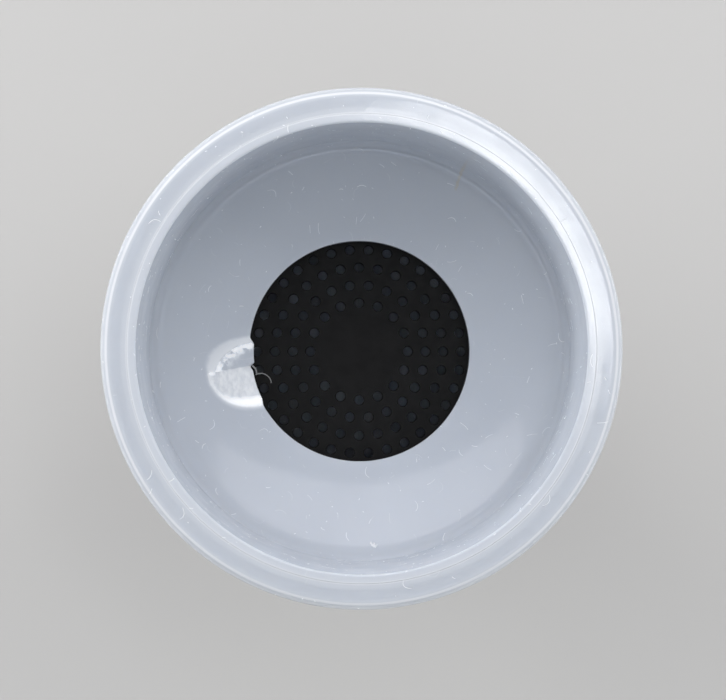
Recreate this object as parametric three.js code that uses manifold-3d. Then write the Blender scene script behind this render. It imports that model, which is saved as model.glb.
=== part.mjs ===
// Take-apart laboratory Buchner funnel in translucent polypropylene.
// A lift-out bowl with a wide outlet stands in a cylindrical outer body and clamps a filter disc on the
// perforated plate below it. The body plugs into a lower section, whose cone narrows to a stem with an
// oblique tip, and an elastomer cone on the stem seals it in the mouth of a filter flask.
// Units are millimetres. +Z is up, and the origin is on the axis, level with the tip of the stem.
import * as THREE from 'three';
import { mergeVertices } from 'three/addons/utils/BufferGeometryUtils.js';
import Module from 'manifold-3d';

// Driving dimensions.
const TOTAL_HEIGHT = 96; // tip of the stem to the top face of the rim
const RIM_RADIUS = 26; // the outer body's rim, the widest place
const MOUTH_RADIUS = 22.45; // inside of the bowl at its lip
const BOWL_DEPTH = 20; // top face of the rim to the edge of the bowl's outlet
const OUTLET_RADIUS = 11.7; // hole in the bowl's dished floor
const STEM_RADIUS = 6.1; // outside of the stem where it meets the cone

// Filter bowl.
const BOWL_WALL = 0.9;
const BOWL_FLOOR = 1.6; // at the outlet's edge
const DISH_RISE = 4; // outlet's edge to the corner between floor and wall
const DISH_SLOPE = 8; // degrees, at the outlet's edge
const DISH_STEPS = 6;
const LIP_DROP = 0.2; // the lip sits this far below the rim's top face
const DRAFT = Math.tan(THREE.MathUtils.degToRad(2.2)); // mould draft of the bowl and its housing
const FLOOR_ROUND = 2.8; // inside corner between wall and floor
const BASE_ROUND = 2.4; // the same corner outside
const GATE_ANGLE = 190; // degrees round the axis from +X to the trimmed moulding gate
const GATE_LENGTH = 4.7; // how far the trimmed scar reaches from the outlet's edge
const GATE_HALF_WIDTH = 3.8;
const GATE_DEPTH = 0.9;

// Outer body.
const SLIP = 0.15; // radial clearance where one part slips into or over another
const BODY_WALL = 1.6; // at the rim
const WALL_TAPER = 0.2; // taken off the outside radius on the way down to the shoulder
const RIM_HEIGHT = 3.6;
const RIM_ROUND = 0.65;
const LEDGE_GAP = 0.6; // bowl's underside to the ledge, bridged by the bowl seal
const LEDGE_THICKNESS = 4.2;
const LEDGE_RADIUS = 14; // hole through the ledge
const SPIGOT_LENGTH = 6.5;
const SPIGOT_RADIUS = 23.1;
const SPIGOT_BORE = 20.4;
const SHOULDER_DROP = 1.8; // ledge's top face down to the shoulder outside

// Perforated plate, let into the ledge.
const PLATE = { radius: 15.9, thickness: 1.8, recess: 1.9 };
const HOLES = { radius: 0.5, firstRing: 5.2, ringStep: 1.9, rings: 4, spacing: 2, sides: 8 };

// Lower section.
const SEAT_GAP = 0.1; // play under the shoulder; twice as much under the spigot, so that the shoulder seats
const SOCKET_PLAY = 0.2; // radial, bridged by the waist seal
const SOCKET_WALL = 1.6;
const CONE_TOP_RADIUS = 21.2; // inside of the cone, just below the spigot
const STEM_BORE_TOP = 4.4;
const STEM_BORE_BOTTOM = 4.1;
const STEM_END_RADIUS = 5.5;
const TIP_SLOPE = 40; // degrees between the oblique cut and the horizontal

// Seals and the elastomer cone.
const BOWL_SEAL = { centre: 18.5, section: 0.9, groove: 2.2, depth: 1.25 };
const WAIST_SEAL = { section: 0.65, groove: 1.7, depth: 1.15, above: 3.1 }; // above the spigot's end
const SEAL_PLAY = 0.03;
const CONE_BOTTOM = 15;
const CONE_HEIGHT = 25;
const CONE_TOP_OUTSIDE = 16.5;
const CONE_BOTTOM_OUTSIDE = 11.5;

// Rounds of edges and corners.
const ROUND = {
  fine: 0.15,
  lip: 0.2,
  edge: 0.3,
  rimUnder: 0.4,
  step: 0.5,
  elastomerBore: 0.6,
  corner: 0.8,
  elastomerTop: 1.2,
  ledge: 1.5,
  cone: 2,
  throat: 3,
};

// Facets.
const SEGMENTS = 48; // round the axis, a multiple of 4 so that the widest points lie on X and Y
const SEAL_SIDES = 8;
const ARC_STEP = 0.6; // longest stretch of a rounded corner made by one facet
const CLOSE = 1e-3;

// Heights that follow from the dimensions above.
const floorTop = TOTAL_HEIGHT - BOWL_DEPTH;
const floorUnder = floorTop - BOWL_FLOOR;
const ledgeTop = floorUnder - LEDGE_GAP;
const ledgeUnder = ledgeTop - LEDGE_THICKNESS;
const shoulder = ledgeTop - SHOULDER_DROP;
const spigotEnd = shoulder - SPIGOT_LENGTH;
const socket = SPIGOT_RADIUS + SOCKET_PLAY;
const socketFloor = spigotEnd - 2 * SEAT_GAP;
const stemTop = socketFloor - (CONE_TOP_RADIUS + SOCKET_WALL * Math.SQRT2 - STEM_RADIUS);

const wasm = await Module();
wasm.setup();

const polypropylene = (name) =>
  new THREE.MeshStandardMaterial({ name, color: 0xc3cad6, roughness: 0.3, metalness: 0 });
const plateMaterial = new THREE.MeshStandardMaterial({ color: 0x35363a, roughness: 0.55, metalness: 0 });
const siliconeMaterial = new THREE.MeshStandardMaterial({ color: 0xd8dbdd, roughness: 0.5, metalness: 0 });
const elastomerMaterial = new THREE.MeshStandardMaterial({ color: 0x3b3d40, roughness: 0.75, metalness: 0 });

// The points of a closed outline given by its corners [radius, height, round]. A corner with a round becomes
// an arc that is tangent to both of its sides.
function roundedOutline(corners) {
  const points = [];
  corners.forEach(([r, z, round = 0], i) => {
    const corner = new THREE.Vector2(r, z);
    const before = new THREE.Vector2(...corners.at(i - 1).slice(0, 2)).sub(corner).normalize();
    const after = new THREE.Vector2(...corners[(i + 1) % corners.length].slice(0, 2)).sub(corner).normalize();
    const half = Math.acos(THREE.MathUtils.clamp(before.dot(after), -1, 1)) / 2;
    if (!round) {
      points.push(corner);
      return;
    }
    const centre = before.clone().add(after).normalize().multiplyScalar(round / Math.sin(half)).add(corner);
    const start = before.multiplyScalar(round / Math.tan(half)).add(corner);
    const from = start.clone().sub(centre).angle();
    const end = after.multiplyScalar(round / Math.tan(half)).add(corner);
    const to = end.sub(centre).angle();
    const sweep = THREE.MathUtils.euclideanModulo(to - from + Math.PI, 2 * Math.PI) - Math.PI;
    const steps = Math.max(1, Math.round((Math.abs(sweep) * round) / ARC_STEP));
    for (let k = 0; k <= steps; k++) {
      const a = from + (sweep * k) / steps;
      points.push(new THREE.Vector2(centre.x + round * Math.cos(a), centre.y + round * Math.sin(a)));
    }
  });
  points.push(points[0].clone());
  return points;
}

// A ring whose section is the given outline, turned about the Z axis.
function revolve(outline) {
  return new THREE.LatheGeometry(outline, SEGMENTS).rotateX(Math.PI / 2);
}

function toSolid(geometry) {
  const bare = geometry.index ? geometry.toNonIndexed() : geometry.clone();
  bare.deleteAttribute('normal');
  bare.deleteAttribute('uv');
  const merged = mergeVertices(bare, CLOSE);
  const vertProperties = merged.attributes.position.array;
  const triVerts = new Uint32Array(merged.index.array);
  return new wasm.Manifold(new wasm.Mesh({ numProp: 3, vertProperties, triVerts }));
}

function toGeometry(solid) {
  const mesh = solid.getMesh();
  const positions = new THREE.BufferAttribute(new Float32Array(mesh.vertProperties), 3);
  const geometry = new THREE.BufferGeometry().setAttribute('position', positions);
  geometry.setIndex(new THREE.BufferAttribute(mesh.triVerts, 1));
  geometry.computeVertexNormals();
  return geometry;
}

function part(name, geometry, material) {
  const mesh = new THREE.Mesh(geometry, material);
  mesh.name = name;
  return mesh;
}

// The scar of the trimmed moulding gate: a shallow scoop in the floor, open to the outlet.
function gateScoop() {
  const scoop = new THREE.SphereGeometry(1, 20, 12);
  scoop.scale(GATE_LENGTH, GATE_HALF_WIDTH, GATE_DEPTH);
  scoop.translate(OUTLET_RADIUS, 0, floorTop);
  return scoop.rotateZ(THREE.MathUtils.degToRad(GATE_ANGLE));
}

// Points of the dished floor, an arc from the corner with the wall to the outlet's edge.
function dish(cornerRadius) {
  const run = cornerRadius - OUTLET_RADIUS;
  const half = Math.atan2(DISH_RISE, run) - THREE.MathUtils.degToRad(DISH_SLOPE);
  const bend = Math.hypot(run, DISH_RISE) / 2 / Math.sin(half);
  const slope = THREE.MathUtils.degToRad(DISH_SLOPE);
  return Array.from({ length: DISH_STEPS + 1 }, (_, i) => {
    const a = slope + 2 * half * (1 - i / DISH_STEPS);
    const r = OUTLET_RADIUS + bend * (Math.sin(a) - Math.sin(slope));
    return [r, floorTop + bend * (Math.cos(slope) - Math.cos(a))];
  });
}

// Thin-walled bowl with a wide outlet in its dished floor and a flat base. It lifts out of the outer body.
function filterBowl() {
  const lip = TOTAL_HEIGHT - LIP_DROP;
  const base = MOUTH_RADIUS - (TOTAL_HEIGHT - floorUnder) * DRAFT;
  const [corner, ...floor] = dish(MOUTH_RADIUS - (BOWL_DEPTH - DISH_RISE) * DRAFT);
  const outline = roundedOutline([
    [MOUTH_RADIUS, lip, ROUND.lip],
    [...corner, FLOOR_ROUND],
    ...floor,
    [OUTLET_RADIUS, floorUnder],
    [base + BOWL_WALL, floorUnder, BASE_ROUND],
    [MOUTH_RADIUS + BOWL_WALL, lip, ROUND.fine],
  ]);
  const bowl = toSolid(revolve(outline)).subtract(toSolid(gateScoop()));
  return part('filter_bowl', toGeometry(bowl), polypropylene('bowl'));
}

// Cylindrical housing with a rounded rim, an inner ledge for the bowl and a spigot below.
function outerBody() {
  const bore = MOUTH_RADIUS + BOWL_WALL + SLIP;
  const boreAtLedge = bore - (TOTAL_HEIGHT - ledgeTop) * DRAFT;
  const rimUnder = TOTAL_HEIGHT - RIM_HEIGHT;
  const wall = bore + BODY_WALL;
  const sealIn = BOWL_SEAL.centre - BOWL_SEAL.groove / 2;
  const sealOut = BOWL_SEAL.centre + BOWL_SEAL.groove / 2;
  const grooveFloor = ledgeTop - BOWL_SEAL.depth;
  const waistLow = spigotEnd + WAIST_SEAL.above - WAIST_SEAL.groove / 2;
  const waistHigh = waistLow + WAIST_SEAL.groove;
  const outline = roundedOutline([
    [bore, TOTAL_HEIGHT, ROUND.lip],
    [boreAtLedge, ledgeTop, ROUND.ledge],
    [sealOut, ledgeTop],
    [sealOut, grooveFloor],
    [sealIn, grooveFloor],
    [sealIn, ledgeTop],
    [PLATE.radius + SLIP, ledgeTop],
    [PLATE.radius + SLIP, ledgeTop - PLATE.recess],
    [LEDGE_RADIUS, ledgeTop - PLATE.recess],
    [LEDGE_RADIUS, ledgeUnder],
    [SPIGOT_BORE, ledgeUnder, ROUND.corner],
    [SPIGOT_BORE, spigotEnd, ROUND.edge],
    [SPIGOT_RADIUS, spigotEnd, ROUND.step],
    [SPIGOT_RADIUS, waistLow],
    [SPIGOT_RADIUS - WAIST_SEAL.depth, waistLow],
    [SPIGOT_RADIUS - WAIST_SEAL.depth, waistHigh],
    [SPIGOT_RADIUS, waistHigh],
    [SPIGOT_RADIUS, shoulder],
    [wall - WALL_TAPER, shoulder, ROUND.edge],
    [wall, rimUnder, ROUND.rimUnder],
    [RIM_RADIUS, rimUnder, ROUND.step],
    [RIM_RADIUS, TOTAL_HEIGHT, RIM_ROUND],
  ]);
  return part('outer_body', revolve(outline), polypropylene('body'));
}

// Points of a circle, as the outline of a shape or of a hole in one.
function circlePoints(x, y, radius, sides) {
  const step = (2 * Math.PI) / sides;
  return Array.from({ length: sides }, (_, i) =>
    new THREE.Vector2(x + radius * Math.cos(i * step), y + radius * Math.sin(i * step)));
}

// Disc with rings of round holes, all inside the bowl's outlet. Its centre, over the stem, is solid.
function perforatedPlate() {
  const disc = new THREE.Shape(circlePoints(0, 0, PLATE.radius, SEGMENTS));
  for (let ring = 0; ring < HOLES.rings; ring++) {
    const radius = HOLES.firstRing + HOLES.ringStep * ring;
    const count = Math.round((2 * Math.PI * radius) / HOLES.spacing);
    for (const { x, y } of circlePoints(0, 0, radius, count)) {
      disc.holes.push(new THREE.Path(circlePoints(x, y, HOLES.radius, HOLES.sides)));
    }
  }
  const plate = new THREE.ExtrudeGeometry(disc, { depth: PLATE.thickness, bevelEnabled: false });
  plate.translate(0, 0, ledgeTop - PLATE.recess + SEAL_PLAY);
  return part('perforated_plate', plate, plateMaterial);
}

// Outside radius of the tapering stem at a height.
function stemRadius(z) {
  return THREE.MathUtils.mapLinear(z, 0, stemTop, STEM_END_RADIUS, STEM_RADIUS);
}

// A large block whose lower face is the oblique plane of the tip, to be kept.
function aboveTip() {
  const size = 4 * TOTAL_HEIGHT;
  const block = new THREE.BoxGeometry(size, size, size).translate(0, 0, size / 2);
  block.rotateY(THREE.MathUtils.degToRad(TIP_SLOPE));
  return block.translate(STEM_END_RADIUS, 0, 0);
}

// Socket for the spigot, a 45 degree cone and a stem cut obliquely at its tip.
function lowerSection() {
  const outside = socket + SOCKET_WALL;
  const top = shoulder - SEAT_GAP;
  const outline = roundedOutline([
    [socket, top, ROUND.edge],
    [socket, socketFloor],
    [CONE_TOP_RADIUS, socketFloor],
    [STEM_BORE_TOP, socketFloor - (CONE_TOP_RADIUS - STEM_BORE_TOP), ROUND.cone],
    [STEM_BORE_BOTTOM, 0],
    [STEM_END_RADIUS, 0],
    [STEM_RADIUS, stemTop, ROUND.throat],
    [outside, stemTop + outside - STEM_RADIUS, ROUND.cone],
    [outside, top, ROUND.edge],
  ]);
  const section = toSolid(revolve(outline)).intersect(toSolid(aboveTip()));
  return part('lower_section', toGeometry(section), polypropylene('lower'));
}

// An O-ring about the axis, from the radius and height of its section's centre.
function sealRing(name, centre, height, section) {
  const circle = new THREE.Path().absarc(centre, height, section, 0, 2 * Math.PI);
  return part(name, revolve(circle.getPoints(SEAL_SIDES)), siliconeMaterial);
}

function bowlSeal() {
  const { centre, section, depth } = BOWL_SEAL;
  return sealRing('bowl_seal', centre, ledgeTop - depth + section + SEAL_PLAY, section);
}

function waistSeal() {
  const { section, depth, above } = WAIST_SEAL;
  return sealRing('waist_seal', SPIGOT_RADIUS - depth + section + SEAL_PLAY, spigotEnd + above, section);
}

// Tapered elastomer sleeve that seals the stem in the flask's mouth.
function adapterCone() {
  const top = CONE_BOTTOM + CONE_HEIGHT;
  const outline = roundedOutline([
    [stemRadius(top) + SLIP, top, ROUND.elastomerBore],
    [stemRadius(CONE_BOTTOM) + SLIP, CONE_BOTTOM, ROUND.elastomerBore],
    [CONE_BOTTOM_OUTSIDE, CONE_BOTTOM, ROUND.corner],
    [CONE_TOP_OUTSIDE, top, ROUND.elastomerTop],
  ]);
  return part('adapter_cone', revolve(outline), elastomerMaterial);
}

const funnel = new THREE.Group();
funnel.name = 'buchner_funnel';
funnel.add(filterBowl(), bowlSeal(), perforatedPlate());
funnel.add(outerBody(), waistSeal(), lowerSection(), adapterCone());

export default funnel;
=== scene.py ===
"""Looks of a small take-apart Buchner funnel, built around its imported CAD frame.

Every round piece is turned from a closed outline with fine rounded corners, written in millimetres as
(radius, height, round), and stands for the CAD node of the same piece. The outlines take their main sizes
from the CAD boxes. The moulded pieces are clouded polypropylene, with lint and handling marks in the
surface.
"""

import math

import bmesh
import bpy
from mathutils import Matrix, Vector


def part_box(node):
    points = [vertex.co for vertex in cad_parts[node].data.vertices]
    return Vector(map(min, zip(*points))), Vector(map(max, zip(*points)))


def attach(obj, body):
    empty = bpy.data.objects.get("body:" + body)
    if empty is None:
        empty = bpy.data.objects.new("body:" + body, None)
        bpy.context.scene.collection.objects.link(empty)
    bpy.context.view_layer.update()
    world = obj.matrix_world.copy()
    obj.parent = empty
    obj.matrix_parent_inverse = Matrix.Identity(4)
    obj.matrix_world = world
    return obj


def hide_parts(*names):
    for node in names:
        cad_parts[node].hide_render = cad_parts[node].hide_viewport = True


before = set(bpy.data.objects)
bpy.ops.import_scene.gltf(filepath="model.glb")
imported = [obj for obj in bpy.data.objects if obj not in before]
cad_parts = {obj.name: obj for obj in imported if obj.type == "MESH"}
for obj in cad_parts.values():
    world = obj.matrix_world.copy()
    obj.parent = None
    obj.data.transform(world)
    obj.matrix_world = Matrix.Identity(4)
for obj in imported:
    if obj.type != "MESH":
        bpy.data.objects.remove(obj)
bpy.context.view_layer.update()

MM = 0.001
TURN = 2 * math.pi
SEGMENTS = 256  # round the axis, in a piece that sets no angles of its own
ARC_STEP = math.radians(9)  # in a rounded corner
CHORD = 0.2  # mm, longest edge in a rounded corner
SUPPORT = 0.06  # mm, short edges that keep the flats beside a rounded corner flat
LONGEST = 1.2  # mm, longest edge along an outline


def extent(node):
    """Outside radius, lowest height and highest height of a round CAD node, in mm."""
    low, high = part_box(node)
    return high.x / MM, low.z / MM, high.z / MM


# Main sizes, from the frame.
BOWL_OUTSIDE, BOWL_BASE, _ = extent("filter_bowl")
RIM_RADIUS, SPIGOT_END, RIM_TOP = extent("outer_body")
PLATE_RADIUS, PLATE_BASE, PLATE_TOP = extent("perforated_plate")
SECTION_RADIUS, TIP, SECTION_TOP = extent("lower_section")
CONE_RADIUS, CONE_BASE, CONE_TOP = extent("adapter_cone")

# Filter bowl, mm.
BOWL_WALL = 0.9
OUTLET_RADIUS = 11.7
FLOOR_THICKNESS = 1.6  # at the outlet's edge
OUTLET_TOP = BOWL_BASE + FLOOR_THICKNESS
LIP_INSIDE = BOWL_OUTSIDE - BOWL_WALL
DISH_SLOPE = math.radians(8)  # at the outlet's edge
DISH_BEND = 23.6  # radius of the dished floor's section
DRAFT = math.radians(2.2)
FLOOR_ROUND = 3.2  # corner between wall and floor

# Trimmed moulding gate in the bowl's floor: two facets that meet in a crease, inside a whitened border.
# Each outline is (length along the crease, half width, squareness), the first two in mm.
CREASE_START = math.radians(187.8)  # where the crease meets the outlet's edge
CREASE_ANGLE = math.radians(190)
BORDER_ABOVE = (4.8, 3.3, 2.5)
BORDER_BELOW = (4.8, 4.7, 2.1)
FACET_ABOVE = (3.75, 2.5, 1.5)
FACET_BELOW = (4.4, 4.15, 2.05)
GATE_DEPTH = 0.95
BORDER_DEPTH = 0.12
GATE_SPREAD = math.radians(28)  # half the stretch of the bowl with close-set facets
GATE_REACH = 8  # mm outside the outlet's edge
LEFT_ABOVE = 0.46  # mm that the cut leaves standing into the outlet, above and below the crease
LEFT_BELOW = 0.2

# Single marks in the bowl: (distance from the axis, azimuth, heading, half length, half width).
STREAK = (20.9, math.radians(60), math.radians(72), 1.4, 0.2)
CRUMB = (20.4, math.radians(-86), math.radians(150), 0.45, 0.22)

# Outer body, mm.
RIM_HEIGHT = 3.6
BODY_WALL_RADIUS = RIM_RADIUS - 0.9
SEAM = 0.005  # between the bowl and the body's bore
BORE_RADIUS = BOWL_OUTSIDE + SEAM
FLAT = RIM_TOP - 0.05  # height of the rim's flat face, just under the bowl's lip
CROWN_START = 24.0  # the rim's top face falls away outside this radius
CROWN_SLOPE = math.tan(math.radians(1))
EDGE_HIGHLIGHT_RADIUS = RIM_RADIUS - 0.6  # radius of a painted highlight line on the rim's outer round
LEDGE_TOP = BOWL_BASE - 0.6
LEDGE_UNDER = LEDGE_TOP - 4.2
LEDGE_RADIUS = 14.0
PLATE_RECESS = 1.9
GROOVE_DEPTH = 1.25  # of the ledge's ring groove
GROOVE_HALF = 1.1
SPIGOT_RADIUS = 23.1
SPIGOT_BORE = 20.4
SHOULDER = SECTION_TOP + 0.1
BOWL_SEAL_RADIUS = 18.5
WAIST_GROOVE = SPIGOT_RADIUS - 1.15  # bottom of the spigot's ring groove
WAIST_HEIGHT = SPIGOT_END + 3.1
WAIST_HALF = 0.85

# Holes of the perforated plate, mm.
HOLE_RADIUS = 0.5
FIRST_RING = 5.2
RING_STEP = 1.9
HOLE_RINGS = 4
HOLE_SPACING = 2.0

# Lower section, mm.
SOCKET_RADIUS = SPIGOT_RADIUS + 0.2
SOCKET_FLOOR = SPIGOT_END - 0.2
FUNNEL_RADIUS = 21.2  # inside of the cone at its top
FUNNEL_WALL = 1.6
STEM_RADIUS = 6.1
STEM_END_RADIUS = 5.5
STEM_BORE = 4.4
STEM_END_BORE = 4.1
TIP_SLOPE = math.tan(math.radians(40))
STEM_TOP = SOCKET_FLOOR - (FUNNEL_RADIUS + FUNNEL_WALL * math.sqrt(2) - STEM_RADIUS)


# ---------------------------------------------------------------- mesh code

def rounded(corners):
    """Points of a closed outline from its corners (radius, height, round), round being optional."""
    points = []
    for i, (r, z, *rest) in enumerate(corners):
        corner = Vector((r, z))
        before = Vector(corners[i - 1][:2]) - corner
        after = Vector(corners[(i + 1) % len(corners)][:2]) - corner
        if not rest:
            points.append(corner)
            continue
        before.normalize()
        after.normalize()
        half = before.angle(after) / 2
        centre = corner + (before + after).normalized() * rest[0] / math.sin(half)
        start = corner + before * rest[0] / math.tan(half) - centre
        end = corner + after * rest[0] / math.tan(half) - centre
        first = math.atan2(start.y, start.x)
        sweep = (math.atan2(end.y, end.x) - first + math.pi) % TURN - math.pi
        steps = max(2, round(abs(sweep) / ARC_STEP), math.ceil(abs(sweep) * rest[0] / CHORD))
        for k in range(steps + 1):
            a = first + sweep * k / steps
            points.append(centre + Vector((math.cos(a), math.sin(a))) * rest[0])
    return points


def supported(points):
    """The same closed outline with support points beside its corners and no edge over LONGEST."""
    result = []
    for i, point in enumerate(points):
        following = points[(i + 1) % len(points)]
        length = (following - point).length
        result.append(point)
        if length < 4 * SUPPORT:
            continue
        inner = length - 2 * SUPPORT
        pieces = max(1, math.ceil(inner / LONGEST))
        for k in range(pieces + 1):
            result.append(point.lerp(following, (SUPPORT + inner * k / pieces) / length))
    return result


def turned(name, corners, angles=None, warp=None, masks=()):
    """A closed ring turned from an outline.

    warp(radius, height, angle) gives a moved point and the values of the masks there.
    """
    outline = supported(rounded(corners))
    angles = angles or [TURN * i / SEGMENTS for i in range(SEGMENTS)]
    rows, columns = len(outline), len(angles)
    run = [0.0]
    for i in range(rows):
        run.append(run[-1] + (outline[(i + 1) % rows] - outline[i]).length)
    middle = sum(p.x for p in outline) / rows
    vertices, values = [], []
    for angle in angles:
        for p in outline:
            r, z, marks = warp(p.x, p.y, angle) if warp else (p.x, p.y, ())
            vertices.append((r * math.cos(angle) * MM, r * math.sin(angle) * MM, z * MM))
            values.append(marks)
    faces, surface = [], []
    for i in range(columns):
        j = (i + 1) % columns
        left = angles[i] * middle
        right = (angles[j] if j else TURN + angles[0]) * middle
        for k in range(rows):
            n = (k + 1) % rows
            faces.append((i * rows + k, i * rows + n, j * rows + n, j * rows + k))
            surface += [(left, run[k]), (left, run[k + 1]), (right, run[k + 1]), (right, run[k])]
    mesh = bpy.data.meshes.new(name)
    mesh.from_pydata(vertices, [], faces)
    layer = mesh.uv_layers.new(name="surface_mm")
    layer.data.foreach_set("uv", [value for pair in surface for value in pair])
    for index, mask in enumerate(masks):
        attribute = mesh.attributes.new(mask, "FLOAT", "POINT")
        attribute.data.foreach_set("value", [marks[index] for marks in values])
    mesh.shade_smooth()
    mesh.update()
    piece = bpy.data.objects.new(name, mesh)
    bpy.context.scene.collection.objects.link(piece)
    return piece


def stand_in(piece, node, body, material):
    """The piece stands for a CAD node, rides on its body and gets the given material."""
    piece.data.materials.append(material)
    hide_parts(node)
    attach(piece, body)


# ---------------------------------------------------------------- pieces

def gate_angles():
    """Angles round the bowl, set closer at the gate."""
    close_set, wide_set = 160, 224
    stretch = 2 * GATE_SPREAD
    start = CREASE_ANGLE - GATE_SPREAD
    angles = [start + stretch * i / close_set for i in range(close_set)]
    for i in range(wide_set):
        angles.append(start + stretch + (TURN - stretch) * i / wide_set)
    return angles


def floor_point(slope):
    """Where the dished floor has this slope."""
    r = OUTLET_RADIUS + DISH_BEND * (math.sin(slope) - math.sin(DISH_SLOPE))
    return r, OUTLET_TOP + DISH_BEND * (math.cos(DISH_SLOPE) - math.cos(slope))


def corner_centre(slope):
    """Centre of the corner's arc if it leaves the floor at this slope."""
    r, z = floor_point(slope)
    return r - FLOOR_ROUND * math.sin(slope), z + FLOOR_ROUND * math.cos(slope)


def bowl_inside():
    """The bowl's inside below its lip, a corner tangent to both the wall and the dished floor."""
    low, high = DISH_SLOPE, math.radians(60)
    for _ in range(40):  # halves the range, which holds the slope where the corner starts
        slope = (low + high) / 2
        r, z = corner_centre(slope)
        wall = LIP_INSIDE - (RIM_TOP - z) * math.tan(DRAFT)
        if (wall - r) * math.cos(DRAFT) > FLOOR_ROUND:
            low = slope
        else:
            high = slope
    arc_steps, floor_steps = 20, 80
    sweep = math.pi / 2 - slope - DRAFT
    points = []
    for i in range(arc_steps):
        a = -DRAFT - sweep * i / arc_steps
        points.append((r + FLOOR_ROUND * math.cos(a), z + FLOOR_ROUND * math.sin(a)))
    return points + [
        floor_point(slope + (DISH_SLOPE - slope) * i / floor_steps) for i in range(floor_steps + 1)
    ]


def smooth(value):
    value = min(1.0, max(0.0, value))
    return value * value * (3 - 2 * value)


def gate_place(r, angle):
    """Distance along the gate's crease from the outlet's edge, and across it, positive above."""
    x = r * math.cos(angle) - OUTLET_RADIUS * math.cos(CREASE_START)
    y = r * math.sin(angle) - OUTLET_RADIUS * math.sin(CREASE_START)
    along = x * math.cos(CREASE_ANGLE) + y * math.sin(CREASE_ANGLE)
    across = x * math.sin(CREASE_ANGLE) - y * math.cos(CREASE_ANGLE)
    return along, across


def reach(along, across, above, below):
    """0 at the crease's start, 1 on the outline."""
    length, width, squareness = above if across > 0 else below
    total = (max(0.0, along) / length) ** squareness + (abs(across) / width) ** squareness
    return total ** (1 / squareness)


def gate_scar(r, z, angle):
    """Sinks the gate's scar into the floor and leaves a little material standing into the outlet."""
    along, across = gate_place(r, angle)
    if abs(angle - CREASE_ANGLE) > GATE_SPREAD or r > OUTLET_RADIUS + GATE_REACH:
        return r, z, (along, across, 0.0)
    on_top = smooth((z - BOWL_BASE - 0.4) / 0.6)
    border = reach(along, across, BORDER_ABOVE, BORDER_BELOW)
    facet = reach(along, across, FACET_ABOVE, FACET_BELOW)
    width = FACET_ABOVE[1] if across > 0 else FACET_BELOW[1]
    v_shape = 1 - 0.5 * min(1.0, abs(across) / width)
    sunk = BORDER_DEPTH * smooth((1 - border) / 0.35)
    sunk += (GATE_DEPTH - BORDER_DEPTH) * max(0.0, 1 - facet) ** 0.8 * v_shape
    left_standing = LEFT_ABOVE * smooth((across + 0.1) / 0.5) * smooth((3.1 - across) / 0.8)
    left_standing += LEFT_BELOW * smooth(-across / 0.6) * smooth((across + 4.4) / 0.8)
    edge = smooth(1 - (r - OUTLET_RADIUS) / 1.3)
    return r - left_standing * edge, z - sunk * on_top, (along, across, on_top)


def filter_bowl():
    base = BOWL_OUTSIDE - (RIM_TOP - BOWL_BASE) * math.tan(DRAFT)
    *inside, edge = bowl_inside()
    corners = [
        (LIP_INSIDE, RIM_TOP, 0.2),
        *inside,
        (*edge, 0.06),
        (OUTLET_RADIUS, BOWL_BASE, 0.15),
        (base, BOWL_BASE, 2.4),
        (BOWL_OUTSIDE, RIM_TOP, 0.05),
    ]
    masks = ("gate_along", "gate_across", "gate_top")
    return turned("bowl", corners, gate_angles(), gate_scar, masks)


def swarf():
    """A curl of plastic left hanging from the gate's crease into the outlet."""
    length, loop, turns, thickness = 2.5, 0.3, 1.4, 0.09
    heading = math.radians(-42)
    start = Vector((math.cos(CREASE_START), math.sin(CREASE_START), 0)) * (OUTLET_RADIUS - 0.25)
    data = bpy.data.curves.new("swarf", "CURVE")
    data.dimensions = "3D"
    data.bevel_depth = thickness * MM
    data.bevel_resolution = 2
    line = data.splines.new("POLY")
    steps = 48
    line.points.add(steps)
    for i in range(steps + 1):
        t = i / steps
        turned_by = TURN * turns * t
        growth = loop * smooth(t * 2)
        along = length * t + growth * math.sin(turned_by)
        aside = growth * (math.cos(turned_by) - 1) + 0.5 * t * t
        x = start.x + along * math.cos(heading) - aside * math.sin(heading)
        y = start.y + along * math.sin(heading) + aside * math.cos(heading)
        z = OUTLET_TOP - 0.75 - 0.35 * t + 0.15 * math.sin(turned_by * 1.5)
        line.points[i].co = (x * MM, y * MM, z * MM, 1)
        line.points[i].radius = 1 - 0.6 * t
    curve = bpy.data.objects.new("swarf", data)
    mesh = bpy.data.meshes.new_from_object(curve)
    bpy.data.objects.remove(curve)
    mesh.shade_smooth()
    piece = bpy.data.objects.new("swarf", mesh)
    bpy.context.scene.collection.objects.link(piece)
    return piece


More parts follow.
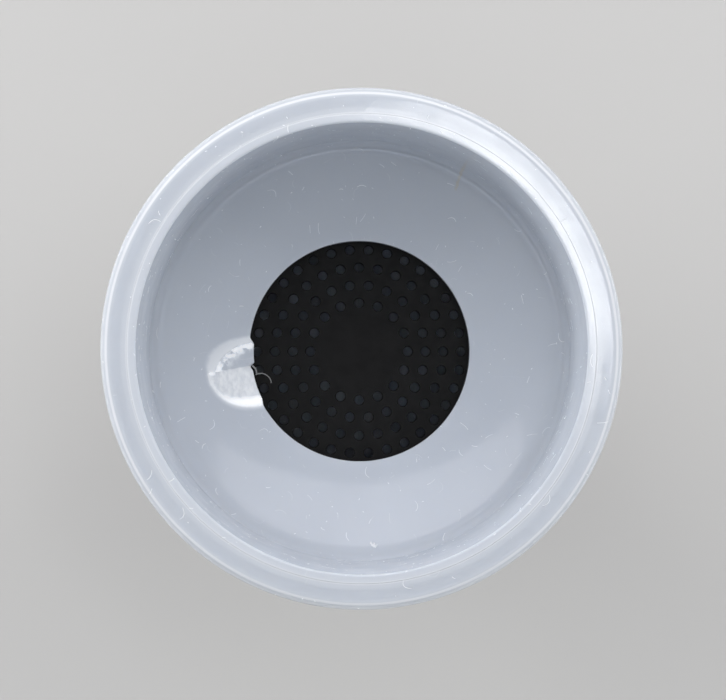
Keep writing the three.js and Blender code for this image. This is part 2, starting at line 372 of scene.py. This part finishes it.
def outer_body():
    bore_at_ledge = BORE_RADIUS - (RIM_TOP - LEDGE_TOP) * math.tan(DRAFT)
    rim_under = RIM_TOP - RIM_HEIGHT
    outer_edge = FLAT - (RIM_RADIUS - CROWN_START) * CROWN_SLOPE
    groove_outside = BOWL_SEAL_RADIUS + GROOVE_HALF
    groove_inside = BOWL_SEAL_RADIUS - GROOVE_HALF
    recess = PLATE_RADIUS + 0.15
    corners = [
        (BORE_RADIUS, FLAT, 0.02),
        (bore_at_ledge, LEDGE_TOP, 1.5),
        (groove_outside, LEDGE_TOP, 0.1),
        (groove_outside, LEDGE_TOP - GROOVE_DEPTH, 0.2),
        (groove_inside, LEDGE_TOP - GROOVE_DEPTH, 0.2),
        (groove_inside, LEDGE_TOP, 0.1),
        (recess, LEDGE_TOP, 0.1),
        (recess, LEDGE_TOP - PLATE_RECESS, 0.1),
        (LEDGE_RADIUS, LEDGE_TOP - PLATE_RECESS, 0.2),
        (LEDGE_RADIUS, LEDGE_UNDER, 0.4),
        (SPIGOT_BORE, LEDGE_UNDER, 0.8),
        (SPIGOT_BORE, SPIGOT_END, 0.3),
        (SPIGOT_RADIUS, SPIGOT_END, 0.5),
        (SPIGOT_RADIUS, WAIST_HEIGHT - WAIST_HALF, 0.1),
        (WAIST_GROOVE, WAIST_HEIGHT - WAIST_HALF, 0.1),
        (WAIST_GROOVE, WAIST_HEIGHT + WAIST_HALF, 0.1),
        (SPIGOT_RADIUS, WAIST_HEIGHT + WAIST_HALF, 0.1),
        (SPIGOT_RADIUS, SHOULDER, 0.1),
        (BODY_WALL_RADIUS - 0.2, SHOULDER, 0.3),
        (BODY_WALL_RADIUS, rim_under, 0.4),
        (RIM_RADIUS, rim_under, 0.5),
        (RIM_RADIUS, outer_edge, 1.0),
        (CROWN_START, FLAT, 8),
    ]
    return turned("body", corners)


def oblique_tip(r, z, angle):
    """Cuts the stem along the oblique plane of its tip by lifting the points below it onto it."""
    plane = TIP + (STEM_END_RADIUS - r * math.cos(angle)) * TIP_SLOPE
    return r, max(z, plane) if r < STEM_RADIUS + 0.5 else z, ()


def lower_section():
    outside = SECTION_RADIUS
    corners = [
        (SOCKET_RADIUS, SECTION_TOP, 0.3),
        (SOCKET_RADIUS, SOCKET_FLOOR, 0.2),
        (FUNNEL_RADIUS, SOCKET_FLOOR, 0.3),
        (STEM_BORE, SOCKET_FLOOR - (FUNNEL_RADIUS - STEM_BORE), 2),
        (STEM_END_BORE, TIP, 0.1),
        (STEM_END_RADIUS, TIP, 0.1),
        (STEM_RADIUS, STEM_TOP, 3),
        (outside, STEM_TOP + outside - STEM_RADIUS, 2),
        (outside, SECTION_TOP, 0.3),
    ]
    return turned("lower", corners, warp=oblique_tip)


def adapter_cone():
    bore_top = 6.17
    bore_base = 5.86
    foot_radius = 11.5
    corner = 0.3  # how far the sharp corner would stand out before it is rounded
    corners = [
        (bore_top, CONE_TOP, 0.6),
        (bore_base, CONE_BASE, 0.6),
        (foot_radius, CONE_BASE, 0.8),
        (CONE_RADIUS + corner, CONE_TOP, 1.2),
    ]
    return turned("cone", corners)


def seal(name, node):
    """An O-ring that fills its CAD box."""
    outside, low, high = extent(node)
    section = (high - low) / 2
    centre = outside - section
    sides = 20
    middle = low + section
    points = []
    for i in range(sides):
        a = TURN * i / sides
        points.append((centre + section * math.cos(a), middle + section * math.sin(a)))
    return turned(name, points)


def cylinder(bm, radius, low, high, sides, x=0.0, y=0.0):
    """Adds a closed upright cylinder, in mm."""
    made = bmesh.ops.create_cone(bm, cap_ends=True, segments=sides, radius1=radius * MM,
                                 radius2=radius * MM, depth=(high - low) * MM)
    bmesh.ops.translate(bm, verts=made["verts"], vec=(x * MM, y * MM, (low + high) / 2 * MM))


def mesh_piece(name, bm):
    mesh = bpy.data.meshes.new(name)
    bm.to_mesh(mesh)
    bm.free()
    piece = bpy.data.objects.new(name, mesh)
    bpy.context.scene.collection.objects.link(piece)
    return piece


def perforated_plate():
    """A disc with rings of bevelled holes and a solid centre."""
    disc, drills = bmesh.new(), bmesh.new()
    cylinder(disc, PLATE_RADIUS, PLATE_BASE, PLATE_TOP, 128)
    for ring in range(HOLE_RINGS):
        radius = FIRST_RING + RING_STEP * ring
        count = round(TURN * radius / HOLE_SPACING)
        for i in range(count):
            x, y = radius * math.cos(TURN * i / count), radius * math.sin(TURN * i / count)
            cylinder(drills, HOLE_RADIUS, PLATE_BASE - 1, PLATE_TOP + 1, 24, x, y)
    piece, cutter = mesh_piece("plate", disc), mesh_piece("drills", drills)
    cut = piece.modifiers.new("holes", "BOOLEAN")
    cut.object = cutter
    bevel = piece.modifiers.new("edges", "BEVEL")
    bevel.width = 0.1 * MM
    bevel.segments = 2
    bevel.limit_method = "ANGLE"
    evaluated = piece.evaluated_get(bpy.context.evaluated_depsgraph_get())
    finished = bpy.data.meshes.new_from_object(evaluated)
    piece.modifiers.clear()
    piece.data = finished
    bpy.data.objects.remove(cutter)
    return piece


# ---------------------------------------------------------------- materials

NATURAL_DARK = (0.54, 0.575, 0.63, 1)
NATURAL_LIGHT = (0.605, 0.64, 0.695, 1)
# A pale colour for whitened plastic (crumb, parting lines) and for painted highlights (the rim's lines, the
# gate's glow).
WHITENED_AND_HIGHLIGHT = (0.86, 0.88, 0.91, 1)
# Pale colour of the gate's facets: stress-whitened plastic, with painted light on the lower facet.
TORN_AND_LIT_WHITE = (0.95, 0.965, 0.98, 1)
# Colour of the painted shade that stands for inner walls showing through the outer wall.
SHOW_THROUGH_SHADE = (0.22, 0.24, 0.28, 1)
LINT = (0.9, 0.92, 0.93, 1)
SCRATCHED = (0.78, 0.8, 0.82, 1)
AMBER = (0.62, 0.55, 0.42, 1)
# Painted shade on the bowl's lip: its colour is scaled by this at the top.
LIP_PAINTED_SHADE = 0.9
# Strengths of the painted highlight lines at the seam and on the rim's outer round.
SEAM_HIGHLIGHT = 0.4
EDGE_HIGHLIGHT = 0.75
NATURAL_SCATTER = 0.9  # mm
SILICONE_SCATTER = 0.5  # mm

# Values for strands(), in the order of STRAND_INPUTS, the lengths in mm.
STRAND_INPUTS = ("Cell", "Length", "Width", "Bend", "Share", "Seed")
FIBRES = (2.2, 1.2, 0.055, 2.4, 0.5, 3.0)
FLUFF = (1.4, 0.22, 0.06, 4.0, 0.26, 11.0)
FINE_SCRATCHES = (9.0, 9.0, 0.03, 0.05, 0.3, 29.0)
SCUFFS = (4.0, 3.5, 0.06, 0.2, 0.3, 5.0)
FIBRES_ON_RUBBER = (2.6, 1.2, 0.05, 1.6, 0.2, 17.0)


class Tree:
    """Short calls that add nodes to a material's or a group's node tree and link them."""

    def __init__(self, tree):
        self.tree = tree

    def node(self, kind, **settings):
        made = self.tree.nodes.new("ShaderNode" + kind)
        for key, value in settings.items():
            setattr(made, key, value)
        return made

    def feed(self, socket, source):
        """Links a socket to source, or sets it where source is a plain value."""
        if isinstance(source, bpy.types.NodeSocket):
            self.tree.links.new(source, socket)
        else:
            socket.default_value = source

    def feed_named(self, node, **sources):
        """Feeds inputs by name, with an underscore for each space."""
        for name, source in sources.items():
            self.feed(node.inputs[name.replace("_", " ")], source)

    def math(self, operation, *sources, clamp=False):
        made = self.node("Math", operation=operation, use_clamp=clamp)
        for socket, source in zip(made.inputs, sources):
            self.feed(socket, source)
        return made.outputs[0]

    def plus(self, first, second, clamp=False):
        return self.math("ADD", first, second, clamp=clamp)

    def times(self, first, second, clamp=False):
        return self.math("MULTIPLY", first, second, clamp=clamp)

    def larger(self, first, second):
        return self.math("MAXIMUM", first, second)

    def away(self, source, value=0.0):
        """How far source is from value."""
        return self.math("ABSOLUTE", self.math("SUBTRACT", source, value))

    def vector(self, operation, *sources):
        made = self.node("VectorMath", operation=operation)
        for socket, source in zip(made.inputs, sources):
            self.feed(socket, source)
        return made.outputs["Value" if operation == "LENGTH" else "Vector"]

    def scaled(self, source, factor):
        made = self.node("VectorMath", operation="SCALE")
        self.feed_named(made, Vector=source, Scale=factor)
        return made.outputs[0]

    def parts(self, place):
        """The x, y and z of a place."""
        made = self.node("SeparateXYZ")
        self.feed(made.inputs[0], place)
        return made.outputs

    def from_axis(self, place):
        """Distance from the funnel's axis."""
        return self.vector("LENGTH", self.vector("MULTIPLY", place, (1.0, 1.0, 0.0)))

    def turned(self, place, angle):
        """The place turned round Z."""
        made = self.node("VectorRotate", rotation_type="Z_AXIS")
        self.feed_named(made, Vector=place, Angle=angle)
        return made.outputs[0]

    def between(self, source, low, high, start=0.0, end=1.0):
        """A smooth step from start to end while source goes from low to high."""
        made = self.node("MapRange", interpolation_type="SMOOTHSTEP")
        self.feed_named(made, Value=source, From_Min=low, From_Max=high, To_Min=start, To_Max=end)
        return made.outputs[0]

    def mix(self, factor, first, second):
        made = self.node("Mix", data_type="RGBA")
        for index, source in ((0, factor), (6, first), (7, second)):
            self.feed(made.inputs[index], source)
        return made.outputs[2]

    def number_mix(self, factor, first, second):
        made = self.node("Mix", data_type="FLOAT")
        for index, source in ((0, factor), (2, first), (3, second)):
            self.feed(made.inputs[index], source)
        return made.outputs[0]

    def noise(self, place, scale, detail=2.0):
        made = self.node("TexNoise")
        self.feed_named(made, Vector=place, Scale=scale, Detail=detail)
        return made.outputs[0]

    def bump(self, height, distance_mm, normal=None):
        made = self.node("Bump")
        self.feed_named(made, Height=height, Distance=distance_mm * MM)
        if normal is not None:
            self.feed_named(made, Normal=normal)
        return made.outputs[0]

    def object_mm(self):
        return self.scaled(self.node("TexCoord").outputs["Object"], 1 / MM)

    def surface_mm(self):
        return self.node("UVMap", uv_map="surface_mm").outputs[0]

    def mask(self, name):
        return self.node("Attribute", attribute_name=name).outputs["Fac"]


def strand_group():
    """A mask of short bent strands scattered over a surface, at most one in each cell of size Cell."""
    group = bpy.data.node_groups.new("strands", "ShaderNodeTree")
    made = Tree(group)
    add = group.interface.new_socket
    add("Surface", in_out="INPUT", socket_type="NodeSocketVector")
    for name in STRAND_INPUTS:
        add(name, in_out="INPUT", socket_type="NodeSocketFloat")
    add("Mask", in_out="OUTPUT", socket_type="NodeSocketFloat")
    given = group.nodes.new("NodeGroupInput").outputs
    shift = made.node("CombineXYZ")
    made.feed_named(shift, X=given["Seed"], Y=made.times(given["Seed"], 1.7))
    place = made.vector("ADD", given["Surface"], shift.outputs[0])
    cells = made.node("TexVoronoi", voronoi_dimensions="2D")
    made.feed_named(cells, Vector=place, Scale=made.math("DIVIDE", 1.0, given["Cell"]))
    centre = cells.outputs["Position"]
    chance = made.node("SeparateColor")
    made.feed(chance.inputs[0], cells.outputs["Color"])
    lottery = made.node("TexWhiteNoise", noise_dimensions="2D")
    made.feed_named(lottery, Vector=centre)
    heading = made.times(chance.outputs[0], TURN)
    along, across, _ = made.parts(made.turned(made.vector("SUBTRACT", place, centre), heading))
    sag = made.times(made.math("SUBTRACT", chance.outputs[1], 0.5), given["Bend"])
    bent = made.away(across, made.times(sag, made.times(along, along)))
    half = made.times(given["Length"], made.between(chance.outputs[2], 0, 1, 0.15, 0.5))
    thin = made.between(bent, made.times(given["Width"], 0.35), given["Width"], 1.0, 0.0)
    ends = made.math("LESS_THAN", made.away(along), half)
    drawn = made.math("LESS_THAN", lottery.outputs[0], given["Share"])
    drawn = made.times(drawn, made.between(chance.outputs[1], 0, 1, 0.25, 1.0))
    mask = made.times(made.times(thin, ends), drawn)
    made.feed(group.nodes.new("NodeGroupOutput").inputs[0], mask)
    return group


def strands(tree, group, kind):
    """The mask of strand_group() over the piece's own surface."""
    made = tree.node("Group", node_tree=group)
    tree.feed_named(made, Surface=tree.surface_mm(), **dict(zip(STRAND_INPUTS, kind)))
    return made.outputs[0]


def new_material(name):
    material = bpy.data.materials.new(name)
    material.use_nodes = True
    return material, Tree(material.node_tree), material.node_tree.nodes["Principled BSDF"]


def outline_reach(tree, along, across, above, below):
    """The same measure as reach(), in a shader."""
    def one_side(outline):
        length, width, squareness = outline
        x = tree.math("POWER", tree.math("DIVIDE", tree.larger(along, 0.0), length), squareness)
        y = tree.math("POWER", tree.math("DIVIDE", tree.away(across), width), squareness)
        return tree.math("POWER", tree.plus(x, y), 1 / squareness)
    is_above = tree.math("GREATER_THAN", across, 0.0)
    return tree.number_mix(is_above, one_side(below), one_side(above))


def gate_whitening_and_painted_light(tree, place):
    """Masks of the trimmed gate: whitened plastic, with painted shade on the upper facet and painted light
    on the lower one, torn plastic, its grain, and its bright edges, which glow as a painted highlight.
    """
    wobble = tree.times(tree.math("SUBTRACT", tree.noise(place, 1.6, 3), 0.5), 0.35)
    along = tree.plus(tree.mask("gate_along"), wobble)
    across = tree.plus(tree.mask("gate_across"), tree.times(wobble, 0.6))
    on_top = tree.mask("gate_top")
    border = outline_reach(tree, along, across, BORDER_ABOVE, BORDER_BELOW)
    facet = outline_reach(tree, along, across, FACET_ABOVE, FACET_BELOW)
    below = tree.between(across, 0.03, -0.03)
    in_border = tree.between(border, 1.03, 0.88)
    in_facet = tree.between(facet, 1.07, 0.95)
    rolled = tree.times(in_border, tree.between(facet, 1.8, 1.0, 0.3, 0.72))

    # Above the crease: grey, a painted shade on the facet that faces away from the light, with white
    # patches towards the edge that are partly painted highlight.
    patches = tree.between(tree.noise(place, 1.3, 3), 0.36, 0.62)
    patches = tree.times(patches, tree.between(facet, 0.5, 0.9, 0.05, 1.0))
    upper = tree.plus(0.1, patches)

    # Below it: pale stress-whitened plastic with painted light on the facet that faces the light, and a
    # white crescent, partly painted highlight, that thins out towards the crease's end.
    grain = tree.noise(tree.vector("MULTIPLY", place, (1.7, 0.9, 1.7)), 1.5, 3)
    inner = tree.between(along, 0.5, 4.2, 0.74, 0.95)
    crescent = tree.between(facet, inner, tree.plus(inner, 0.14))
    lower = tree.plus(tree.between(grain, 0.3, 0.7, 0.5, 0.85), crescent)

    crease = tree.between(tree.away(across, 0.03), 0.07, 0.0)
    facets = tree.plus(tree.number_mix(below, upper, lower), tree.times(crease, 0.3))
    crease_end = tree.between(tree.away(along, 4.1), 0.5, 0.1)
    crease_end = tree.times(crease_end, tree.between(tree.away(across), 0.45, 0.1))
    white = tree.larger(tree.number_mix(in_facet, rolled, facets), crease_end)
    white = tree.times(white, on_top, clamp=True)
    torn = tree.times(in_facet, on_top)
    edges = tree.larger(tree.number_mix(below, tree.times(patches, 0.8), crescent), crease_end)
    return white, torn, grain, tree.times(edges, torn, clamp=True)


def rim_highlights(tree, place):
    """Masks of the painted highlight lines at the seam and at the rim's outer round, of what lies
    beside them, and of the top of the rim.
    """
    distance = tree.from_axis(place)
    from_seam = tree.away(distance, BORE_RADIUS)
    from_edge = tree.away(distance, EDGE_HIGHLIGHT_RADIUS)
    at_top = tree.between(tree.parts(place)[2], RIM_TOP - 0.5, RIM_TOP - 0.25)
    seam_highlight = tree.times(tree.between(from_seam, 0.2, 0.08), SEAM_HIGHLIGHT)
    edge_highlight = tree.times(tree.between(from_edge, 0.2, 0.05), EDGE_HIGHLIGHT)
    beside = tree.larger(tree.between(from_seam, 0.8, 0.3), tree.between(from_edge, 0.5, 0.25))
    lines = tree.larger(seam_highlight, edge_highlight)
    return tree.times(lines, at_top), tree.times(beside, at_top), at_top


def moulded_relief(tree, place, turning_depth, specks, scratch):
    """Normals of a moulded surface: soft waviness, turning marks from the mould, grain, lint, scratches."""
    turning = tree.noise(tree.vector("MULTIPLY", tree.surface_mm(), (0.02, 5.0, 0.0)), 1.0, 2)
    normal = tree.bump(tree.noise(place, 0.35, 1), 0.012)
    normal = tree.bump(turning, turning_depth, normal)
    normal = tree.bump(tree.noise(place, 9.0, 2), 0.0012, normal)
    normal = tree.bump(specks, 0.03, normal)
    return tree.bump(tree.math("SUBTRACT", 0.0, scratch), 0.006, normal)


def moulded_outside(tree, place, colour, roughness, normal):
    """Satin below the rim, with two fine parting lines and painted shade in bands at the heights of the
    thicker inner walls, as if they showed through.
    """
    x, _, height = tree.parts(place)
    below_rim = tree.between(height, RIM_TOP - 0.8, RIM_TOP - 1.2)
    line = tree.times(tree.between(tree.away(x), 0.14, 0.03), below_rim)
    # Painted shade: darker bands at the ledge and on the lower section below the socket floor.
    ledge = tree.times(tree.between(height, LEDGE_UNDER - 2, LEDGE_UNDER + 1),
                       tree.between(height, LEDGE_TOP + 2, LEDGE_TOP - 0.5))
    funnel = tree.between(height, SOCKET_FLOOR + 1.5, SOCKET_FLOOR - 2)
    shade = tree.larger(tree.times(ledge, 0.16), tree.times(funnel, 0.12))
    colour = tree.mix(shade, colour, SHOW_THROUGH_SHADE)
    colour = tree.mix(tree.times(line, 0.25), colour, WHITENED_AND_HIGHLIGHT)
    roughness = tree.plus(roughness, tree.times(below_rim, 0.2), clamp=True)
    return colour, roughness, tree.bump(line, 0.03, normal)


def capsule(tree, place, mark):
    """A mask of one short line seen from above, with a ragged edge."""
    radius, azimuth, heading, half_length, half_width = mark
    centre = (radius * math.cos(azimuth), radius * math.sin(azimuth), 0.0)
    x, y, _ = tree.parts(tree.turned(tree.vector("SUBTRACT", place, centre), -heading))
    wobble = tree.times(tree.math("SUBTRACT", tree.noise(place, 2.5, 3), 0.5), half_width * 3)
    across = tree.between(tree.away(tree.plus(y, wobble)), half_width, half_width * 0.4)
    return tree.times(across, tree.between(tree.away(x), half_length, half_length * 0.7))


def bowl_marks(tree, shader, place, at_top, colour, roughness, normal, scatter):
    """What only the bowl has: a lip darkened by painted shade, a streak, a crumb and the trimmed gate."""
    # The lip's top is darkened: painted shade.
    colour = tree.scaled(colour, tree.between(at_top, 0.0, 1.0, 1.0, LIP_PAINTED_SHADE))
    colour = tree.mix(tree.times(capsule(tree, place, STREAK), 0.45), colour, AMBER)
    crumb = capsule(tree, place, CRUMB)
    colour = tree.mix(crumb, colour, WHITENED_AND_HIGHLIGHT)
    normal = tree.bump(crumb, 0.1, normal)
    white, torn, grain, edges = gate_whitening_and_painted_light(tree, place)
    # The gate's bright edges glow: a painted highlight.
    tree.feed_named(shader, Emission_Color=WHITENED_AND_HIGHLIGHT, Emission_Strength=tree.times(edges, 0.3))
    scatter = tree.times(scatter, tree.between(white, 0.2, 1.0, 1.0, 0.15))
    colour = tree.mix(white, colour, TORN_AND_LIT_WHITE)
    roughness = tree.plus(roughness, tree.times(torn, 0.2), clamp=True)
    normal = tree.bump(tree.times(grain, torn), 0.12, normal)
    return colour, roughness, normal, scatter


def polypropylene(name, group, turning_depth, transmission, gated=False):
    """Clouded, slightly blue natural polypropylene with lint, fine scratches and soft mould texture."""
    material, tree, shader = new_material(name)
    place = tree.object_mm()
    lines, beside, at_top = rim_highlights(tree, place)
    patches = tree.between(tree.noise(place, 0.16, 2), 0.36, 0.58)
    fibres = tree.times(strands(tree, group, FIBRES), patches)
    specks = tree.larger(fibres, strands(tree, group, FLUFF))
    scratch = strands(tree, group, FINE_SCRATCHES)
    colour = tree.mix(tree.noise(place, 0.09, 3), NATURAL_DARK, NATURAL_LIGHT)
    colour = tree.mix(tree.times(specks, 0.85), colour, LINT)
    colour = tree.mix(tree.times(scratch, 0.2), colour, SCRATCHED)
    # Painted highlight lines at the seam and on the rim's outer round.
    colour = tree.mix(lines, colour, WHITENED_AND_HIGHLIGHT)
    roughness = tree.between(tree.noise(place, 0.4, 4), 0.3, 0.7, 0.08, 0.15)
    roughness = tree.plus(roughness, tree.times(specks, 0.4), clamp=True)
    normal = moulded_relief(tree, place, turning_depth, specks, scratch)
    scatter = tree.between(beside, 0.0, 1.0, 1.0, 0.0)
    if gated:
        colour, roughness, normal, scatter = bowl_marks(
            tree, shader, place, at_top, colour, roughness, normal, scatter)
    else:
        colour, roughness, normal = moulded_outside(tree, place, colour, roughness, normal)
    tree.feed_named(shader, Base_Color=colour, Roughness=roughness, Normal=normal, IOR=1.49,
                    Subsurface_Weight=scatter, Subsurface_Radius=(1.1, 1.05, 1.0),
                    Subsurface_Scale=NATURAL_SCATTER * MM, Transmission_Weight=transmission)
    return material


def torn_polypropylene():
    """Stretched and whitened polypropylene, as in a trimmed burr."""
    material, tree, shader = new_material("torn_polypropylene")
    place = tree.object_mm()
    colour = tree.mix(tree.noise(place, 3.0, 3), (0.36, 0.35, 0.34, 1), (0.8, 0.8, 0.8, 1))
    normal = tree.bump(tree.noise(place, 8.0, 3), 0.02)
    tree.feed_named(shader, Base_Color=colour, Normal=normal, Roughness=0.35, Transmission_Weight=0.6)
    return material


def shade_dark_plastic():
    """Near-black moulded plastic with a fine even grain; the near-black is painted shade that stands in for
    the shade seen down the outlet.
    """
    material, tree, shader = new_material("dark_plate")
    place = tree.object_mm()
    colour = tree.mix(tree.noise(place, 0.5, 4), (0.004, 0.004, 0.0042, 1), (0.012, 0.0118, 0.0118, 1))
    roughness = tree.between(tree.noise(place, 2.0, 3), 0.3, 0.7, 0.45, 0.62)
    normal = tree.bump(tree.noise(place, 6.0, 3), 0.012)
    tree.feed_named(shader, Base_Color=colour, Roughness=roughness, Normal=normal,
                    Specular_IOR_Level=0.1)
    return material


def silicone():
    """Cloudy white silicone, with a trace of dust."""
    material, tree, shader = new_material("silicone_seal")
    place = tree.object_mm()
    colour = tree.mix(tree.noise(place, 0.8, 3), (0.60, 0.61, 0.61, 1), (0.72, 0.73, 0.72, 1))
    roughness = tree.between(tree.noise(place, 3.0, 3), 0.3, 0.7, 0.38, 0.55)
    normal = tree.bump(tree.noise(place, 7.0, 2), 0.004)
    tree.feed_named(shader, Base_Color=colour, Roughness=roughness, Normal=normal,
                    Subsurface_Weight=0.6, Subsurface_Radius=(1.0, 0.98, 0.95),
                    Subsurface_Scale=SILICONE_SCATTER * MM)
    return material


def flask_rubber(group):
    """Matt dark rubber: fine grain, paler bloom in patches, scuffs and a little lint."""
    material, tree, shader = new_material("flask_rubber")
    place = tree.object_mm()
    bloom = tree.between(tree.noise(place, 0.14, 5), 0.42, 0.7)
    scuff = strands(tree, group, SCUFFS)
    lint = strands(tree, group, FIBRES_ON_RUBBER)
    colour = tree.mix(bloom, (0.022, 0.023, 0.025, 1), (0.05, 0.051, 0.053, 1))
    colour = tree.mix(tree.times(scuff, 0.3), colour, (0.12, 0.12, 0.12, 1))
    colour = tree.mix(tree.times(lint, 0.5), colour, (0.45, 0.45, 0.44, 1))
    roughness = tree.between(bloom, 0, 1, 0.55, 0.78)
    normal = tree.bump(lint, 0.03, tree.bump(tree.noise(place, 3.5, 4), 0.02))
    tree.feed_named(shader, Base_Color=colour, Roughness=roughness, Normal=normal)
    return material


def floor_sheet():
    """Matt pale grey, paler further out where less light falls on it."""
    material, tree, shader = new_material("floor")
    further_out = tree.between(tree.from_axis(tree.object_mm()), 250, 1200)
    colour = tree.mix(further_out, (0.46, 0.455, 0.445, 1), (0.8, 0.8, 0.79, 1))
    tree.feed_named(shader, Base_Color=colour, Roughness=0.8)
    return material


# ---------------------------------------------------------------- studio

def floor():
    bpy.ops.mesh.primitive_plane_add(size=4, location=(0, 0, 0))
    sheet = bpy.context.object
    sheet.name = "floor"
    sheet.data.materials.append(floor_sheet())


def area_light(name, place_mm, size_mm, watts, colour=(1, 1, 1), mirrored=True):
    """A panel aimed at the rim. If it isn't mirrored, glossy surfaces don't show it."""
    data = bpy.data.lights.new(name, "AREA")
    data.shape = "RECTANGLE"
    data.size, data.size_y = (s * MM for s in size_mm)
    data.energy = watts
    data.color = colour
    light = bpy.data.objects.new(name, data)
    light.location = Vector(place_mm) * MM
    direction = (Vector((0, 0, RIM_TOP)) - Vector(place_mm)).normalized()
    light.rotation_euler = direction.to_track_quat("-Z", "Y").to_euler()
    light.visible_camera = False
    light.visible_glossy = mirrored
    bpy.context.scene.collection.objects.link(light)


def lights():
    """A window behind the funnel, soft panels round it, and a small lamp that gives the rim its sheen."""
    area_light("window", (-40, 460, RIM_TOP + 430), (1100, 500), 2.5, colour=(1.0, 0.975, 1.0))
    area_light("left", (-430, 110, RIM_TOP + 115), (600, 70), 1.3, mirrored=False)
    area_light("right", (430, 70, RIM_TOP + 115), (600, 60), 0.8, mirrored=False)
    area_light("back_left", (-430, 270, RIM_TOP + 400), (350, 350), 0.8, mirrored=False)
    area_light("back_right", (430, 250, RIM_TOP + 400), (350, 350), 0.8, mirrored=False)
    area_light("front", (80, -450, RIM_TOP), (500, 120), 0.4, mirrored=False)
    area_light("lamp", (59, 50, RIM_TOP + 500), (110, 50), 0.17)


def sky():
    """Cool white, brighter overhead, and an even pale grey where the camera sees it."""
    world = bpy.data.worlds.new("studio")
    world.use_nodes = True
    tree = Tree(world.node_tree)
    height = tree.parts(tree.node("TexCoord").outputs["Generated"])[2]
    overhead = tree.between(height, 0.45, 0.95, 0.35, 0.72)
    seen = tree.node("LightPath").outputs["Is Camera Ray"]
    tree.feed_named(world.node_tree.nodes["Background"], Color=(0.94, 0.965, 1.0, 1),
                    Strength=tree.number_mix(seen, overhead, 0.5))
    bpy.context.scene.world = world


def camera():
    """Almost straight above the rim, a little to the left of the axis and in front of it."""
    rim_distance = 286
    data = bpy.data.cameras.new("camera")
    data.sensor_width = 36
    data.lens = 143
    data.clip_start = 0.01
    eye = bpy.data.objects.new("camera", data)
    eye.location = Vector((-3.8, -4.3, RIM_TOP + rim_distance)) * MM
    forward = (Vector((0.11, -0.17, RIM_TOP)) * MM - eye.location).normalized()
    right = forward.cross(Vector((0, 1, 0))).normalized()
    up = right.cross(forward)
    eye.rotation_euler = Matrix((right, up, -forward)).transposed().to_euler()
    bpy.context.scene.collection.objects.link(eye)
    bpy.context.scene.camera = eye


def build():
    group = strand_group()
    natural = polypropylene("natural_polypropylene", group, 0.002, 0.25)
    gated = polypropylene("gated_polypropylene", group, 0.0004, 0.08, gated=True)
    seals = silicone()
    stand_in(filter_bowl(), "filter_bowl", "filter_bowl", gated)
    stand_in(swarf(), "filter_bowl", "filter_bowl", torn_polypropylene())
    stand_in(outer_body(), "outer_body", "outer_body", natural)
    stand_in(seal("bowl_ring", "bowl_seal"), "bowl_seal", "outer_body", seals)
    stand_in(seal("waist_ring", "waist_seal"), "waist_seal", "outer_body", seals)
    stand_in(perforated_plate(), "perforated_plate", "perforated_plate", shade_dark_plastic())
    stand_in(lower_section(), "lower_section", "lower_section", natural)
    stand_in(adapter_cone(), "adapter_cone", "adapter_cone", flask_rubber(group))


build()
floor()
lights()
sky()
camera()
bpy.context.scene.view_settings.view_transform = "Standard"
